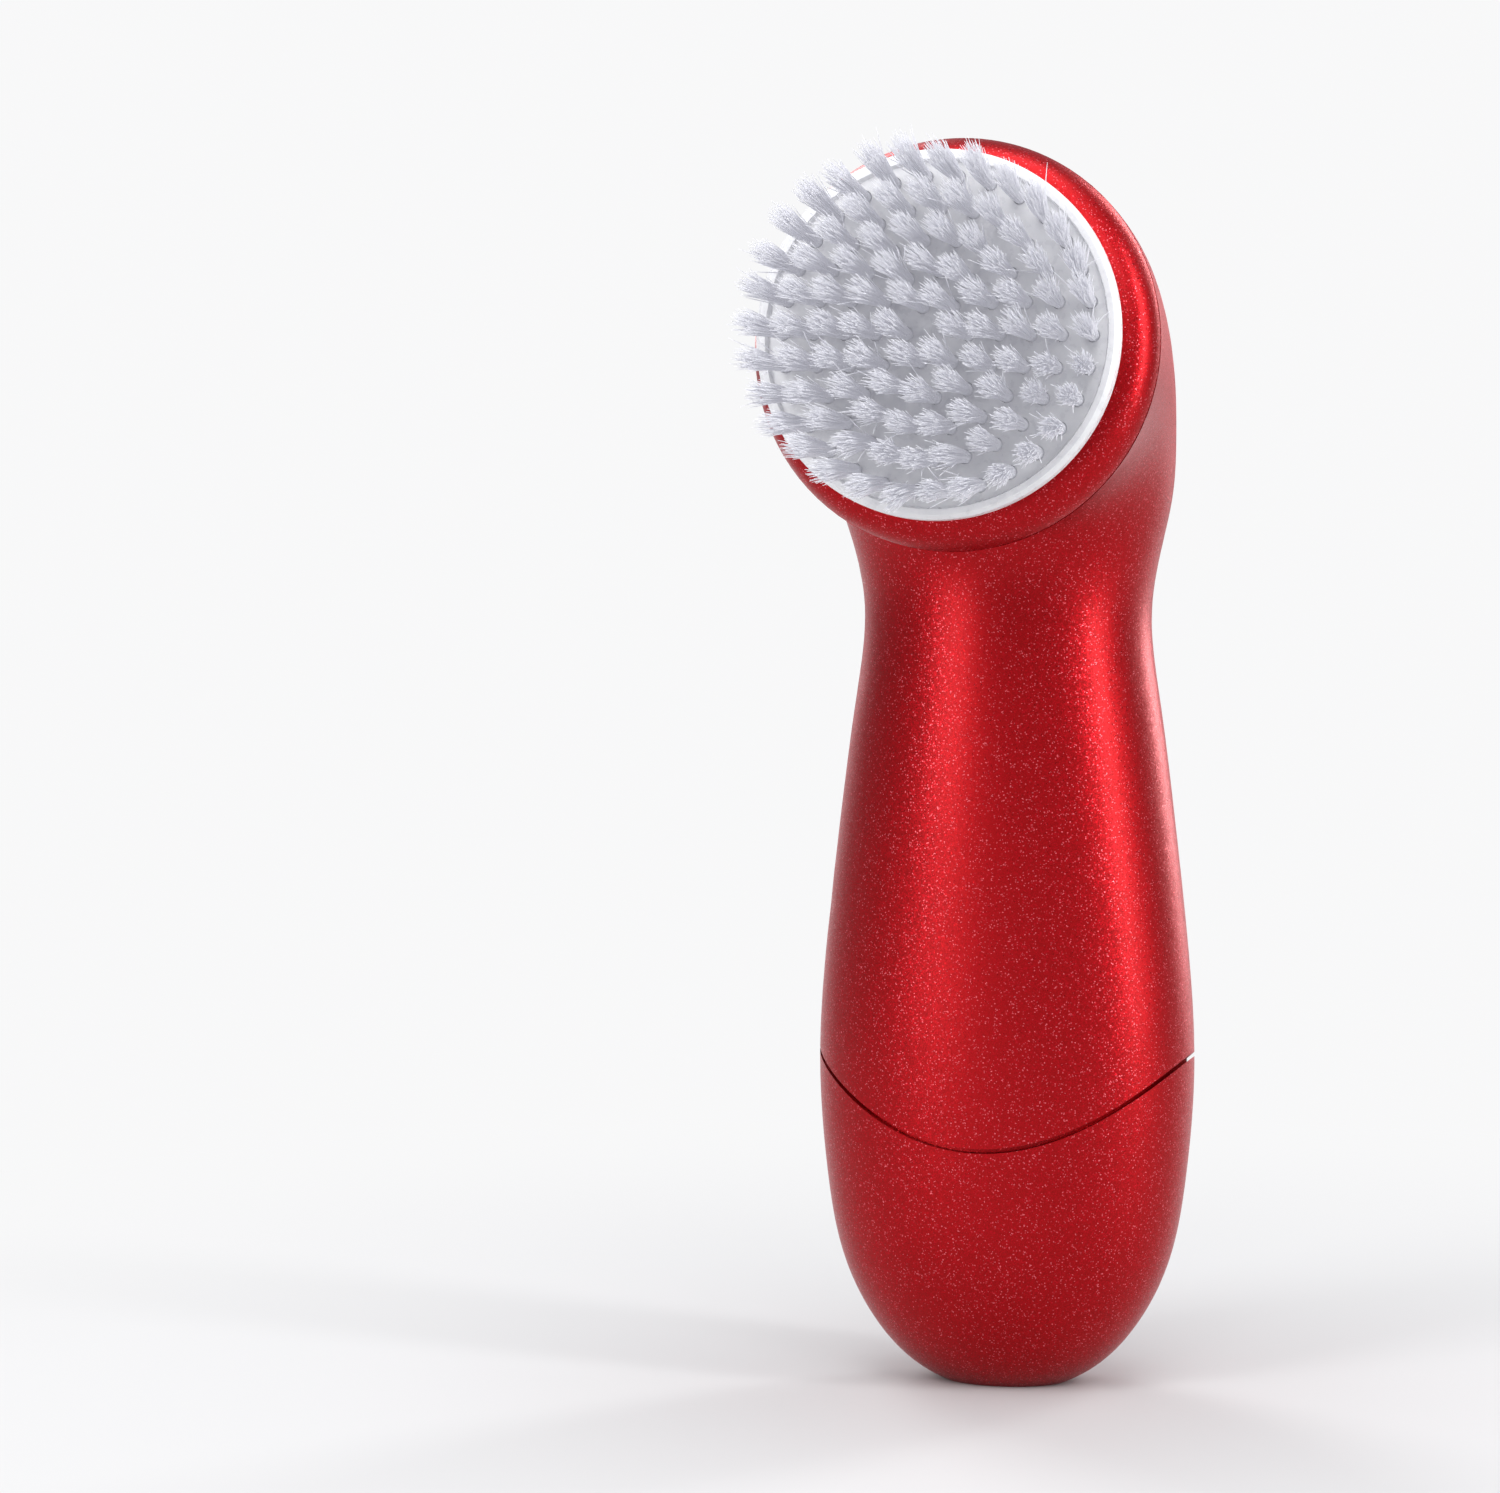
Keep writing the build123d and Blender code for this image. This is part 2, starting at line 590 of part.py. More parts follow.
def gearbox_rear_plate():
    """Rear plate with the rear bearing, open for the compound gear, and a tail for the motor bracket."""
    rims = [CenterArc(place, PILLAR_R + 0.6, 0, 360) for place in mirrored(PILLARS)]
    rims += [CenterArc((0, 3), 6, 0, 360)]
    rims += [CenterArc((x, BRACKET_SCREW_U), 2.6, 0, 360) for x in (-MOTOR_SCREW_X, MOTOR_SCREW_X)]
    plate = Pos(0, 0, REAR_PLATE_V[0]) * extrude(make_hull(rims), REAR_PLATE_V[1] - REAR_PLATE_V[0])
    plate -= post(3.2, -30, -20)
    plate -= post(4.3, -30, -20, 0, CROWN_U)
    for x, u in mirrored(PILLARS):
        plate -= post(SCREW_R + 0.2, -30, -20, x, u)
    for x in (-MOTOR_SCREW_X, MOTOR_SCREW_X):
        plate -= post(SCREW_R, -30, -20, x, BRACKET_SCREW_U)
    return HEAD * plate


def compound_gear():
    """Crown gear with the small pinion that drives the output gear, in one piece."""
    gear = post(9.9, CROWN_V + 1.25 * CROWN_MODULE, -27.6)
    gear += post(3.6, -27.6, -23.0)
    gear += post(2.6, -29.6, -29.0)
    gear += spur(SPUR_TEETH, SPUR_MODULE, -23.0, -18.0, phase=90, backlash=0.1)
    gear = gear + crown_teeth()
    gear -= post(AXLE_R + RUNNING, -31, -17)
    return HEAD * (Pos(0, CROWN_U, 0) * gear)


def gear_axle():
    return HEAD * post(AXLE_R, -31.2, FRAME_PLATE_V[1], 0, CROWN_U)


def axle_clip():
    return HEAD * tube(2.3, AXLE_R, -30.3, -29.7, 0, CROWN_U)


def output_gear():
    """Large gear, webbed between its hub and rim."""
    gap_phase = -90 + 180 / OUTPUT_TEETH
    gear = spur(OUTPUT_TEETH, SPUR_MODULE, -22.5, -18.5, gap_phase, addendum=0.8, backlash=0.1)
    gear -= tube(9.8, 4.2, -23, -21.2) + tube(9.8, 4.2, -19.8, -18)
    return HEAD * (gear - post(SHAFT_R, -24, -17))


def output_shaft():
    return HEAD * post(SHAFT_R, -27.6, 4.4)


def front_bush():
    return HEAD * (tube(3.5, SHAFT_R + RUNNING, -15.5, -7.0) + tube(4.6, SHAFT_R + RUNNING, -7.0, -6.3))


def rear_bush():
    return HEAD * (tube(3.2, SHAFT_R + RUNNING, -26.8, -24.9) + tube(4.2, SHAFT_R + RUNNING, -25.2, -24.6))


def shaft_clip():
    return HEAD * tube(3.6, SHAFT_R, -6.1, -5.5)


def shaft_seal():
    return HEAD * tube(4.5, SHAFT_R + RUNNING, -3.4, WELL_FLOOR_V - 0.3)


def drive_boss():
    """Boss on the shaft's end, with four ribs that turn the brush's hub."""
    boss = post(4.6, -0.9, 4.8)
    for turn in (0, 90):
        boss += Rot(0, 0, turn) * block((-6.5, 6.5), (-RIB_WIDE / 2, RIB_WIDE / 2), (0.9, 4.4))
    return HEAD * (boss - post(SHAFT_R, -2, 4.4))


# ---- brush ------------------------------------------------------------------------------------
def tuft_places():
    """(ring number, turn in degrees) of every tuft."""
    return [
        (ring, 360 * step / (6 * ring))
        for ring in range(1, RINGS + 1)
        for step in range(6 * ring)
    ]


def brush_base():
    """White dish with drilled tuft holes, and a slotted hub behind it."""
    back = Line((0, BASE_BACK_V), (18.0, BASE_BACK_V))
    side = ThreePointArc((18.0, BASE_BACK_V), (21.0, 6.7), (BASE_R, 9.0))
    rim = Polyline((BASE_R, 9.0), (BASE_R, 10.5), (21.5, BASE_TOP_V), (20.8, BASE_TOP_V), (20.5, PLATE_V))
    plate = Polyline((20.5, PLATE_V), (0, PLATE_V), (0, BASE_BACK_V))
    base = revolve(Plane.XZ * make_face([back, side, rim, plate]), Axis.Z)
    hub = tube(HUB_R, HUB_BORE, 0.7, BASE_BACK_V + 0.2)
    for turn in (0, 90):
        hub -= Rot(0, 0, turn) * block((-8, 8), (-HUB_SLOT / 2, HUB_SLOT / 2), (0, BASE_BACK_V))
    for turn in (30, 60):
        hub -= Rot(0, 0, turn) * block((-8, 8), (-0.35, 0.35), (0, BASE_BACK_V - 0.6))
    base += hub
    holes = [
        Rot(0, 0, turn) * post(HOLE_R, HOLE_LOW_V, PLATE_V + 1, RING_STEP * ring)
        for ring, turn in tuft_places()
    ]
    return HEAD * (base - holes)


def bristle_tufts():
    """Ninety tufts, each a straight root in its hole and a cone that widens to the tip."""
    outline = Polyline(
        (0, TUFT_ROOT_V), (TUFT_ROOT_R, TUFT_ROOT_V), (TUFT_ROOT_R, PLATE_V), (TUFT_TIP_R, TUFT_TIP_V),
        (0, TUFT_TIP_V), close=True,
    )
    tuft = revolve(Plane.XZ * make_face(outline), Axis.Z)
    return [
        HEAD * (Rot(0, 0, turn) * (Pos(RING_STEP * ring, 0, 0) * tuft))
        for ring, turn in tuft_places()
    ]


def tuft_staples():
    """Metal anchors that hold the folded tufts at the bottom of their holes."""
    return [
        HEAD * (Rot(0, 0, turn) * block(
            (RING_STEP * ring - 0.15, RING_STEP * ring + 0.15),
            (-0.7, 0.7),
            (HOLE_LOW_V + 0.05, TUFT_ROOT_V - 0.05),
        ))
        for ring, turn in tuft_places()
    ]


# ---- fasteners and leads ----------------------------------------------------------------------
def cover_screws():
    return [HEAD * screw(x, u, -2.0, -9.5, head_r=1.9, head_high=1.3) for x, u in cover_screw_places()]


def frame_screws():
    return [HEAD * screw(x, u, FRAME_PLATE_V[1], -21.5, 1.7) for x, u in mirrored(FRAME_BOSSES)]


def rear_plate_screws():
    return [HEAD * screw(x, u, REAR_PLATE_V[0], -20.5, 1.6) for x, u in mirrored(PILLARS)]


def bracket_screws():
    sides = (-MOTOR_SCREW_X, MOTOR_SCREW_X)
    return [HEAD * screw(x, BRACKET_SCREW_U, -24.0, -26.6, 1.5, 0.9) for x in sides]


def motor_screws():
    return [MOTOR * screw(x, 0, 1.2, -1.2, 1.5, 0.9) for x in (-MOTOR_SCREW_X, MOTOR_SCREW_X)]


def board_screws():
    return [back_facing(z) * screw(x, 0, BOARD_Y, 11.0, 1.5, 0.9) for x, z in mirrored(BOARD_POSTS)]


def carrier_screws():
    return [screw(x, 0, BULKHEAD_Z, 74.0, 1.6) for x in (-CARRIER_SCREW_X, CARRIER_SCREW_X)]


def motor_leads():
    return [
        lead([(x, 3.6, 72.5), (1.05 * x, 5.4, 73.5), (x, 6.4, 76.0), (x, 6.95, 79.0)])
        for x in (-1.8, 1.8)
    ]


def battery_leads():
    return [
        lead([
            (x, LEAD_HOLE_Y, BULKHEAD_Z), (x, -3.6, 70), (x, 1, 75), (0.86 * x, 5, 80), (0.6 * x, 6.9, 84),
        ])
        for x in LEAD_HOLES
    ]


# ---- build ------------------------------------------------------------------------------------
outer_form = form()
outer_shell = outer_form - form(WALL, CAP_FLOOR_Z)

save(main_body(outer_form, outer_shell), "main_body")
save(battery_cap(outer_shell), "battery_cap")
save(cell(-CELL_X, nub_up=True), "cell_left")
save(cell(CELL_X, nub_up=False), "cell_right")

for maker in (
    head_front_cover, cover_gasket, cap_liner, cap_gasket, cap_contact, cap_springs,
    battery_carrier, positive_contact, negative_contact, power_button, button_seal, switch_body,
    switch_plunger, control_board, board_components, motor_can, motor_end_cap, motor_magnets,
    motor_armature, motor_shaft,
    motor_pinion, motor_bracket, gearbox_frame, gearbox_rear_plate, compound_gear, gear_axle,
    axle_clip, output_gear, output_shaft, front_bush, rear_bush, shaft_clip, shaft_seal,
    drive_boss, brush_base, bristle_tufts, tuft_staples, cover_screws, frame_screws,
    rear_plate_screws, bracket_screws, motor_screws, board_screws, carrier_screws, motor_leads,
    battery_leads,
):
    save(maker(), maker.__name__)
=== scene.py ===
import json
from math import cos, pi, radians, sin

import bpy
import numpy as np
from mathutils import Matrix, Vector

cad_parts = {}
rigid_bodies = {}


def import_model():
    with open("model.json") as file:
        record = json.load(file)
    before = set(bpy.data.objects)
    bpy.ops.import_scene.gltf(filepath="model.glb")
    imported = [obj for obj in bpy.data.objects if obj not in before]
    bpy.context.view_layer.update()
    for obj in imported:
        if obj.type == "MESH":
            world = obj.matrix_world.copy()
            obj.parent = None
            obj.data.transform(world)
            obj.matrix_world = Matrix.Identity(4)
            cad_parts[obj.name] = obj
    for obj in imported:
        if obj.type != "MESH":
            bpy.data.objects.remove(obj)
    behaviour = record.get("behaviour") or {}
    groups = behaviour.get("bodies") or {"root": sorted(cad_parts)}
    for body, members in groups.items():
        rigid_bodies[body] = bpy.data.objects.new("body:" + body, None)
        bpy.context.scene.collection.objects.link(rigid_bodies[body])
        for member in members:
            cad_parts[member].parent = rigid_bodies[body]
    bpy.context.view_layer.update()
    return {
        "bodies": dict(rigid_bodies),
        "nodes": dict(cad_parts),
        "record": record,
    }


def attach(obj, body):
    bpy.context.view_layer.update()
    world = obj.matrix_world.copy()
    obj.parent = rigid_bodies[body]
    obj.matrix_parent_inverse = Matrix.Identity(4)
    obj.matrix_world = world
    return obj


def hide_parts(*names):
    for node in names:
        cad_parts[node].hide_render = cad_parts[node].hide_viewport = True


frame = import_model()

rng = np.random.default_rng(7)

MM = 0.001
SLOT_OF = {part["node"]: part["material_slot"] for part in frame["record"]["subparts"]}

# the brush axis, in metres
TILT = radians(8.0)
RIM = Vector((0, -29.0, 130.7)) * MM
FORWARD = Vector((0, -cos(TILT), sin(TILT)))
UP = Vector((0, sin(TILT), cos(TILT)))
SIDE = Vector((1, 0, 0))


# ---- materials --------------------------------------------------------------------------------
class Shader:
    """A Principled material and the nodes that feed it."""

    def __init__(self, name, roughness=0.4, metallic=0.0):
        self.material = bpy.data.materials.new(name)
        self.material.use_nodes = True
        self.tree = self.material.node_tree
        self.tree.nodes.clear()
        self.out = self.add("ShaderNodeOutputMaterial")
        self.skin = self.add("ShaderNodeBsdfPrincipled")
        self.skin.inputs["Roughness"].default_value = roughness
        self.skin.inputs["Metallic"].default_value = metallic
        self.link(self.skin.outputs[0], self.out.inputs[0])
        self.coordinates = self.add("ShaderNodeTexCoord").outputs["Object"]

    def add(self, kind, **settings):
        node = self.tree.nodes.new(kind)
        for key, value in settings.items():
            setattr(node, key, value)
        return node

    def link(self, source, target):
        self.tree.links.new(source, target)

    def feed(self, source, socket):
        self.link(source, self.skin.inputs[socket])

    def noise(self, scale, detail, stretch=None):
        """Grey noise over the object. A stretch scales the three axes, for grain and brushing."""
        node = self.add("ShaderNodeTexNoise")
        node.inputs["Scale"].default_value = scale
        node.inputs["Detail"].default_value = detail
        source = self.coordinates
        if stretch:
            mapping = self.add("ShaderNodeMapping")
            mapping.inputs["Scale"].default_value = stretch
            self.link(source, mapping.inputs["Vector"])
            source = mapping.outputs[0]
        self.link(source, node.inputs["Vector"])
        return node.outputs["Fac"]

    def cells(self, scale):
        """Random colour for each small cell of the surface."""
        node = self.add("ShaderNodeTexVoronoi")
        node.inputs["Scale"].default_value = scale
        self.link(self.coordinates, node.inputs["Vector"])
        return node.outputs["Color"]

    def ramp(self, source, stops):
        node = self.add("ShaderNodeValToRGB")
        while len(node.color_ramp.elements) < len(stops):
            node.color_ramp.elements.new(0.5)
        for element, (place, colour) in zip(node.color_ramp.elements, stops):
            element.position = place
            element.color = (*colour, 1)
        self.link(source, node.inputs["Fac"])
        return node.outputs["Color"]

    def spread(self, source, low, high):
        """Noise stretched onto a range of numbers."""
        node = self.add("ShaderNodeMapRange")
        node.inputs["From Min"].default_value = 0.3
        node.inputs["From Max"].default_value = 0.7
        node.inputs["To Min"].default_value = low
        node.inputs["To Max"].default_value = high
        self.link(source, node.inputs["Value"])
        return node.outputs[0]

    def bump(self, source, depth):
        node = self.add("ShaderNodeBump")
        node.inputs["Distance"].default_value = depth
        self.link(source, node.inputs["Height"])
        self.feed(node.outputs[0], "Normal")


def speckled(name, low, high, roughness, metallic=0.0, scale=400, depth=0.00002, stretch=None):
    """Hard material whose colour, gloss and height vary a little over the surface."""
    shader = Shader(name, roughness, metallic)
    grain = shader.noise(scale, 4.0, stretch)
    shader.feed(shader.ramp(grain, [(0.3, low), (0.7, high)]), "Base Color")
    shader.feed(shader.spread(grain, roughness - 0.06, roughness + 0.06), "Roughness")
    shader.bump(grain, depth)
    return shader


FLAKES_PER_METRE = 7800
FLAKE_TILT = 0.15
FLAKE_GLOSS = (0.22, 0.22, 0.22)
LACQUER_METALLIC = 0.82


def red_lacquer(name, roughness, sparkle):
    """Deep red metallic lacquer with fine pale flakes, under a satin coat."""
    shader = Shader(name, roughness, LACQUER_METALLIC)
    flakes = shader.cells(FLAKES_PER_METRE)
    split = shader.add("ShaderNodeSeparateColor")
    shader.link(flakes, split.inputs[0])
    tint = shader.ramp(split.outputs[0], [
        (0.0, (0.31, 0.0, 0.002)), (0.72, (0.37, 0.0, 0.003)), (0.94, (0.46, 0.0, 0.008)),
        (1.0, (0.75, 0.14 * sparkle, 0.17 * sparkle)),
    ])
    shader.feed(tint, "Base Color")
    dull = (roughness,) * 3
    shine = shader.ramp(split.outputs[1], [(0.0, dull), (0.9, dull), (1.0, FLAKE_GLOSS)])
    shader.feed(shine, "Roughness")

    # each flake lies at its own slight angle
    geometry = shader.add("ShaderNodeNewGeometry")
    centred = shader.add("ShaderNodeVectorMath", operation="SUBTRACT")
    centred.inputs[1].default_value = (0.5, 0.5, 0.5)
    shader.link(flakes, centred.inputs[0])
    tilt = shader.add("ShaderNodeVectorMath", operation="SCALE")
    tilt.inputs["Scale"].default_value = FLAKE_TILT * sparkle
    shader.link(centred.outputs[0], tilt.inputs[0])
    tilted = shader.add("ShaderNodeVectorMath", operation="ADD")
    shader.link(geometry.outputs["Normal"], tilted.inputs[0])
    shader.link(tilt.outputs[0], tilted.inputs[1])
    unit = shader.add("ShaderNodeVectorMath", operation="NORMALIZE")
    shader.link(tilted.outputs[0], unit.inputs[0])
    shader.feed(unit.outputs[0], "Normal")
    shader.skin.inputs["Coat Weight"].default_value = 0.14
    shader.skin.inputs["Coat Roughness"].default_value = 0.32
    shader.skin.inputs["Specular IOR Level"].default_value = 0.3
    return shader


def white_moulding(name):
    """Bright white moulded plastic, slightly translucent."""
    shader = speckled(name, (0.66, 0.66, 0.68), (0.72, 0.72, 0.73), 0.3, scale=900, depth=0.00001)
    shader.skin.inputs["Subsurface Weight"].default_value = 0.35
    shader.skin.inputs["Subsurface Radius"].default_value = (1.0, 1.0, 1.0)
    shader.skin.inputs["Subsurface Scale"].default_value = 0.002
    return shader


FILAMENT_GLOW = 0.13             # stands for light scattered between neighbouring filaments
FILAMENT_CLARITY = 0.45          # share of the light that passes through


def nylon_filament(name):
    """Clear white nylon: light passes through the thin filaments."""
    shader = Shader(name, 0.34)
    streaks = shader.noise(900, 2.0)
    tint = shader.ramp(streaks, [(0.3, (0.78, 0.78, 0.81)), (0.7, (0.88, 0.88, 0.9))])
    shader.feed(tint, "Base Color")
    through = shader.add("ShaderNodeBsdfTranslucent")
    through.inputs["Color"].default_value = (0.88, 0.88, 0.91, 1)
    shader.skin.inputs["Emission Color"].default_value = (0.95, 0.95, 1.0, 1)
    shader.skin.inputs["Emission Strength"].default_value = FILAMENT_GLOW
    mix = shader.add("ShaderNodeMixShader")
    mix.inputs["Fac"].default_value = FILAMENT_CLARITY
    shader.link(shader.skin.outputs[0], mix.inputs[1])
    shader.link(through.outputs[0], mix.inputs[2])
    shader.link(mix.outputs[0], shader.out.inputs[0])
    return shader


CELL_LOW_Z = 13.0                # the cells stand between these heights
CELL_TOP_Z = 63.4


def cell_sleeve(name):
    """Battery sleeve: blue body with a silver band near the top, no lettering."""
    shader = Shader(name, 0.28, 0.3)
    split = shader.add("ShaderNodeSeparateXYZ")
    shader.link(shader.coordinates, split.inputs[0])
    height = shader.add("ShaderNodeMapRange")
    height.inputs["From Min"].default_value = CELL_LOW_Z * MM
    height.inputs["From Max"].default_value = CELL_TOP_Z * MM
    shader.link(split.outputs["Z"], height.inputs["Value"])
    bands = shader.ramp(height.outputs[0], [
        (0.0, (0.6, 0.6, 0.62)), (0.03, (0.04, 0.10, 0.28)), (0.72, (0.03, 0.08, 0.24)),
        (0.74, (0.55, 0.56, 0.6)), (0.96, (0.65, 0.65, 0.68)),
    ])
    shader.feed(bands, "Base Color")
    scuffs = shader.noise(300, 5.0)
    shader.feed(shader.spread(scuffs, 0.2, 0.4), "Roughness")
    shader.bump(scuffs, 0.00001)
    return shader


def solder_mask(name):
    """Green board with faint copper tracks under the mask."""
    shader = Shader(name, 0.32)
    tracks = shader.add("ShaderNodeTexBrick")
    tracks.inputs["Scale"].default_value = 260
    tracks.inputs["Color1"].default_value = (0.012, 0.13, 0.05, 1)
    tracks.inputs["Color2"].default_value = (0.016, 0.16, 0.06, 1)
    tracks.inputs["Mortar"].default_value = (0.05, 0.26, 0.10, 1)
    tracks.inputs["Mortar Size"].default_value = 0.05
    flat = shader.add("ShaderNodeMapping")
    flat.inputs["Rotation"].default_value = (pi / 2, 0, 0)
    shader.link(shader.coordinates, flat.inputs["Vector"])
    shader.link(flat.outputs[0], tracks.inputs["Vector"])
    shader.feed(tracks.outputs["Color"], "Base Color")
    shader.bump(tracks.outputs["Fac"], 0.00003)
    return shader


MATERIALS = {
    "red_paint": red_lacquer("red_paint", 0.40, 1.0),
    "red_button": red_lacquer("red_button", 0.46, 0.4),
    "white_plastic": white_moulding("white_plastic"),
    "bristle": nylon_filament("bristle"),
    "frame_plastic": speckled("frame_plastic", (0.66, 0.65, 0.61), (0.74, 0.73, 0.69), 0.5),
    "gear_plastic": speckled("gear_plastic", (0.80, 0.78, 0.70), (0.88, 0.86, 0.79), 0.36),
    "black_plastic": speckled("black_plastic", (0.018, 0.018, 0.02), (0.035, 0.035, 0.038), 0.48),
    "board": solder_mask("board"),
    "rubber_black": speckled("rubber_black", (0.012, 0.012, 0.012), (0.028, 0.028, 0.028), 0.7, scale=1200),
    "rubber_grey": speckled("rubber_grey", (0.20, 0.20, 0.21), (0.27, 0.27, 0.28), 0.62, scale=1200),
    "steel": speckled("steel", (0.50, 0.50, 0.52), (0.66, 0.66, 0.68), 0.3, 1.0, 300, 0.00001, (1, 1, 14)),
    "spring_steel": speckled("spring_steel", (0.66, 0.65, 0.62), (0.8, 0.79, 0.76), 0.2, 1.0, 600),
    "bronze": speckled("bronze", (0.36, 0.22, 0.09), (0.52, 0.34, 0.15), 0.42, 1.0, 1800, 0.00004),
    "magnet": speckled("magnet", (0.05, 0.05, 0.055), (0.09, 0.09, 0.095), 0.55, 0.4, 1500, 0.00003),
    "copper": speckled("copper", (0.52, 0.20, 0.08), (0.76, 0.34, 0.16), 0.3, 1.0, 700, 0.00004, (1, 1, 9)),
    "cell_wrap": cell_sleeve("cell_wrap"),
    "lead_red": speckled("lead_red", (0.42, 0.012, 0.01), (0.55, 0.02, 0.014), 0.36),
}

for node, piece in frame["nodes"].items():
    piece.data.materials.clear()
    piece.data.materials.append(MATERIALS[SLOT_OF[node]].material)


# ---- bristles ---------------------------------------------------------------------------------
RINGS = 5
RING_STEP = 3.75
PLATE_V = 10.2                   # the filaments come out of the plate here
ROOT_V = 7.4
TIP_V = 23.3
GOLDEN_TURN = 2.39996            # spreads the filaments evenly over a tuft
STRAY_SHARE = 0.05
ROOT_R = 0.72                    # radius of a tuft at the plate
TIP_R = 1.45                     # and at its tip
FILAMENTS = 110
FILAMENT_R = 0.06
STATIONS = 6                     # points along one filament
FACETS = 5


def tuft_filaments(ring, turn):
    """Paths of one tuft's filaments, in the head's own frame (x, u, v), in millimetres."""
    ray = np.array([cos(turn), sin(turn)])
    centre = ray * RING_STEP * ring
    lean = ray * (0.2 + 1.5 * (ring / RINGS) ** 3) + rng.normal(0, 0.22, 2)
    height = TIP_V + rng.normal(0, 0.18)
    share = np.sqrt((np.arange(FILAMENTS) + 0.5) / FILAMENTS)
    around = np.arange(FILAMENTS) * GOLDEN_TURN + rng.uniform(0, 2 * pi)
    spot = np.stack([np.cos(around), np.sin(around)], axis=1) * share[:, None]
    root = centre + spot * ROOT_R
    splay = TIP_R * (1 + 0.3 * rng.random(FILAMENTS) ** 3)
    tip = centre + lean + spot * splay[:, None] + rng.normal(0, 0.16, (FILAMENTS, 2))
    strays = rng.random(FILAMENTS) < STRAY_SHARE
    tip[strays] += rng.normal(0, 1.0, (int(strays.sum()), 2))
    top = height + rng.normal(0, 0.22, FILAMENTS) - 0.5 * share ** 2
    along = np.linspace(0, 1, STATIONS)
    rise = np.clip((ROOT_V + (TIP_V - ROOT_V) * along - PLATE_V) / (TIP_V - PLATE_V), 0, 1) ** 1.35
    flat = root[:, None, :] + (tip - root)[:, None, :] * rise[None, :, None]
    curl = rng.normal(0, 0.10, (FILAMENTS, 1, 2)) * np.sin(pi * rise)[None, :, None]
    level = ROOT_V + (top - ROOT_V)[:, None] * along[None, :]
    return np.concatenate([flat + curl, level[:, :, None]], axis=2)


def tubes(name, paths, radius):
    """One mesh of thin tapering tubes with closed ends, from paths in the head's frame."""
    turns = np.arange(FACETS) * 2 * pi / FACETS
    hoop = np.stack([np.cos(turns), np.sin(turns), np.zeros(FACETS)], axis=1)
    taper = np.ones(STATIONS)
    taper[-1] = 0.45
    local = paths[:, :, None, :] + radius * taper[None, :, None, None] * hoop[None, None, :, :]
    local = local.reshape(-1, 3) * MM
    basis = np.array([SIDE, UP, FORWARD])
    points = np.array(RIM) + local @ basis
    faces = []
    per = STATIONS * FACETS
    for tube in range(len(paths)):
        first = tube * per
        for station in range(STATIONS - 1):
            low = first + station * FACETS
            for facet in range(FACETS):
                after = (facet + 1) % FACETS
                faces.append((low + facet, low + after, low + FACETS + after, low + FACETS + facet))
        faces.append(tuple(range(first + FACETS - 1, first - 1, -1)))
        faces.append(tuple(range(first + per - FACETS, first + per)))
    mesh = bpy.data.meshes.new(name)
    mesh.from_pydata(points.tolist(), [], faces)
    mesh.polygons.foreach_set("use_smooth", [True] * len(mesh.polygons))
    mesh.update()
    piece = bpy.data.objects.new(name, mesh)
    bpy.context.scene.collection.objects.link(piece)
    return piece


for ring in range(1, RINGS + 1):
    tufts = 6 * ring
    paths = np.concatenate([tuft_filaments(ring, 2 * pi * step / tufts) for step in range(tufts)])
    piece = tubes(f"filaments_ring_{ring}", paths, FILAMENT_R)
    piece.data.materials.append(MATERIALS["bristle"].material)
    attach(piece, "brush_head")
    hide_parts("bristle_tufts")


# ---- lip in the seam ---------------------------------------------------------------------------
SEAM_LOW_Z = 31.4                # the cap's seam at the front and back
SEAM_CURVE = 10.6 / 23.75 ** 2   # and how it rises towards the sides
LIP_HALF_HIGH = 0.27
LIP_OUTER = 1.0                  # the lip lies this deep in the groove
LIP_INNER = 1.8
LIP_STEPS = 128


def grip_half_width(z):
    """Half width of the handle near the seam."""
    return 23.8 - 0.0047 * (z - 41.5) ** 2


def lip_point(turn, depth, shift):
    """Point of the seam's groove, at a depth below the outer skin."""
    z = SEAM_LOW_Z
    for _ in range(6):
        x = (grip_half_width(z) - depth) * cos(turn)
        z = SEAM_LOW_Z + SEAM_CURVE * x * x
    y = (0.72 * grip_half_width(z) - depth) * sin(turn)
    return (x * MM, y * MM, (z + shift) * MM)


def seam_lip():
    """Thin moulded step of the cap that closes the seam's groove."""
    corners = [
        (LIP_OUTER, -LIP_HALF_HIGH), (LIP_OUTER, LIP_HALF_HIGH), (LIP_INNER, LIP_HALF_HIGH),
        (LIP_INNER, -LIP_HALF_HIGH),
    ]
    points = []
    faces = []
    for step in range(LIP_STEPS):
        turn = 2 * pi * step / LIP_STEPS
        points += [lip_point(turn, depth, shift) for depth, shift in corners]
        here = 4 * step
        there = 4 * ((step + 1) % LIP_STEPS)
        for corner in range(4):
            after = (corner + 1) % 4
            faces.append((here + corner, there + corner, there + after, here + after))
    mesh = bpy.data.meshes.new("seam_lip")
    mesh.from_pydata(points, [], faces)
    mesh.materials.append(MATERIALS["red_button"].material)
    lip = bpy.data.objects.new("seam_lip", mesh)
    bpy.context.scene.collection.objects.link(lip)
    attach(lip, "cap")


seam_lip()


# ---- studio -----------------------------------------------------------------------------------
WHITE = (0.94, 0.94, 0.945, 1.0)
ROOM_LIGHT = 0.34
FLOOR_R = 8.0
FADE_START = 0.03                # the floor turns into the background between these distances
FADE_END = 0.22
LIGHTS_AIM = Vector((0, 0, 0.085))


